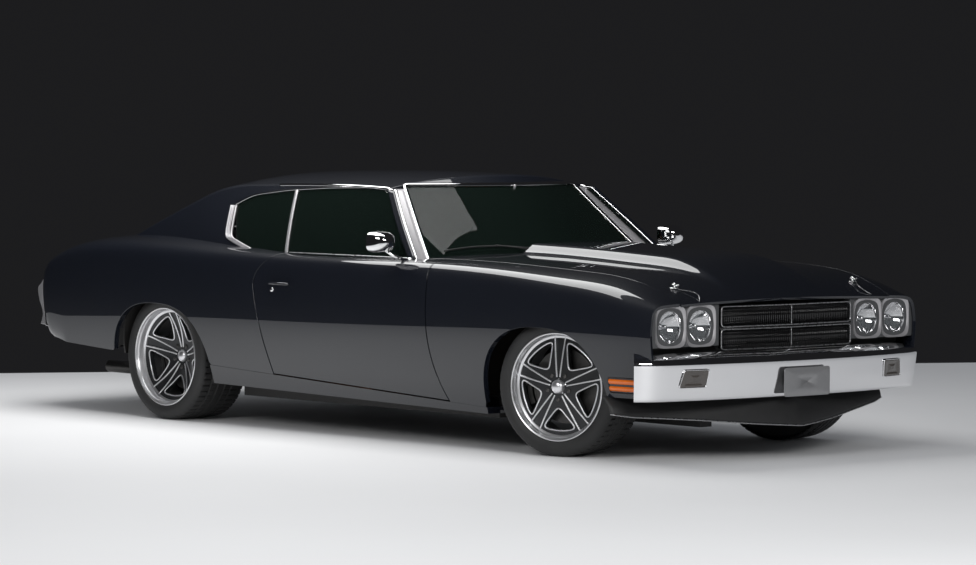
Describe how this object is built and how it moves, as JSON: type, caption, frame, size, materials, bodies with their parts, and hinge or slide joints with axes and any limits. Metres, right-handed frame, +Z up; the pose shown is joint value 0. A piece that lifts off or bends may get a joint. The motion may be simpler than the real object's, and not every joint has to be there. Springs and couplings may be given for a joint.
{
  "type": "muscle car",
  "caption": "Two-door hardtop muscle car in near-black navy paint, with chrome trim, five-spoke alloy wheels, tan seats, opening doors, hood and trunk, and front wheels turned to the left.",
  "frame": {"origin": "on the ground below the middle of the car", "axes": "+X forward, +Y to the left side of the car, +Z up"},
  "size_m": [5.009, 2.0594, 1.279],
  "materials": {
    "paint": "gloss",
    "glass": "gloss",
    "tyre": "matte",
    "machined_alloy": "polished",
    "bright_trim": "polished",
    "black_steel": "satin",
    "brake_iron": "satin",
    "lamp_glass": "gloss",
    "amber_lens": "gloss",
    "red_lens": "gloss",
    "grey_trim": "satin",
    "black_trim": "matte",
    "tan_leather": "satin"
  },
  "bodies": {
    "body": {"back_glass": "glass", "control_arms": "black_steel", "cowl": "black_steel", "dashboard": "black_trim", "engine": "brake_iron", "exhaust": "bright_trim", "fender_left": "paint", "fender_right": "paint", "floor": "black_steel", "frame": "black_steel", "front_bumper": "bright_trim", "front_seats": "tan_leather", "front_spoiler": "black_trim", "front_wheelhouses": "black_steel", "fuel_tank": "black_steel", "grille": "grey_trim", "headlamp_bezels": "grey_trim", "headlamps": "lamp_glass", "parcel_shelf": "black_trim", "plate": "grey_trim", "quarter_glass": "glass", "quarter_left": "paint", "quarter_right": "paint", "radiator_support": "black_steel", "rear_axle": "black_steel", "rear_bumper": "bright_trim", "rear_seat": "tan_leather", "rear_wheelhouses": "black_steel", "rockers": "paint", "roof": "paint", "side_markers": "amber_lens", "steering_column": "black_trim", "tail_lamps": "red_lens", "tail_panel": "black_steel", "turn_lamps": "amber_lens", "windshield": "glass"},
    "hood": {"hood": "paint", "hood_pins": "bright_trim"},
    "trunk": {"trunk_lid": "paint"},
    "door_left": {"door_left": "paint", "door_glass_left": "glass", "mirror_left": "bright_trim"},
    "door_right": {"door_right": "paint", "door_glass_right": "glass", "mirror_right": "bright_trim"},
    "knuckle_left": {"knuckle_left": "brake_iron"},
    "knuckle_right": {"knuckle_right": "brake_iron"},
    "steering_wheel": {"steering_wheel": "black_trim"},
    "wheel_front_left": {"tyre_front_left": "tyre", "rim_front_left": "machined_alloy", "brake_disc_front_left": "brake_iron"},
    "wheel_front_right": {"tyre_front_right": "tyre", "rim_front_right": "machined_alloy", "brake_disc_front_right": "brake_iron"},
    "wheel_rear_left": {"tyre_rear_left": "tyre", "rim_rear_left": "machined_alloy", "brake_disc_rear_left": "brake_iron"},
    "wheel_rear_right": {"tyre_rear_right": "tyre", "rim_rear_right": "machined_alloy", "brake_disc_rear_right": "brake_iron"}
  },
  "joints": [
    {"name": "steer_right", "type": "hinge", "parent": "body", "child": "knuckle_right", "pos_m": [1.6895, -0.7, 0.322], "axis": [0, 0, 1], "range_deg": [-44, 16]},
    {"name": "steer_left", "type": "hinge", "parent": "body", "child": "knuckle_left", "pos_m": [1.6895, 0.7, 0.322], "axis": [0, 0, 1], "range_deg": [-44, 16]},
    {"name": "spin_front_left", "type": "hinge", "parent": "knuckle_left", "child": "wheel_front_left", "pos_m": [1.65297, 0.84651, 0.322], "axis": [-0.2419, 0.9703, 0], "continuous": true},
    {"name": "spin_front_right", "type": "hinge", "parent": "knuckle_right", "child": "wheel_front_right", "pos_m": [1.72603, -0.84651, 0.322], "axis": [-0.2419, 0.9703, 0], "continuous": true},
    {"name": "spin_rear_left", "type": "hinge", "parent": "body", "child": "wheel_rear_left", "pos_m": [-1.1555, 0.881, 0.322], "axis": [0, 1, 0], "continuous": true},
    {"name": "spin_rear_right", "type": "hinge", "parent": "body", "child": "wheel_rear_right", "pos_m": [-1.1555, -0.881, 0.322], "axis": [0, 1, 0], "continuous": true},
    {"name": "turn_steering_wheel", "type": "hinge", "parent": "body", "child": "steering_wheel", "pos_m": [0.5175, 0.372, 0.75], "axis": [0.8829, 0, -0.4695], "range_deg": [-224, 616]},
    {"name": "door_left_hinge", "type": "hinge", "parent": "body", "child": "door_left", "pos_m": [0.877, 0.94, 0.5], "axis": [0, 0, -1], "range_deg": [0, 65]},
    {"name": "door_right_hinge", "type": "hinge", "parent": "body", "child": "door_right", "pos_m": [0.877, -0.94, 0.5], "axis": [0, 0, 1], "range_deg": [0, 65]},
    {"name": "hood_hinge", "type": "hinge", "parent": "body", "child": "hood", "pos_m": [0.768, 0, 0.87], "axis": [0, -1, 0], "range_deg": [0, 50]},
    {"name": "trunk_hinge", "type": "hinge", "parent": "body", "child": "trunk", "pos_m": [-1.728, 0, 0.955], "axis": [0, 1, 0], "range_deg": [0, 70]}
  ],
  "couplings": [
    {"joint": "steer_left", "follows": "steer_right", "ratio": 1},
    {"joint": "turn_steering_wheel", "follows": "steer_right", "ratio": -14}
  ]
}
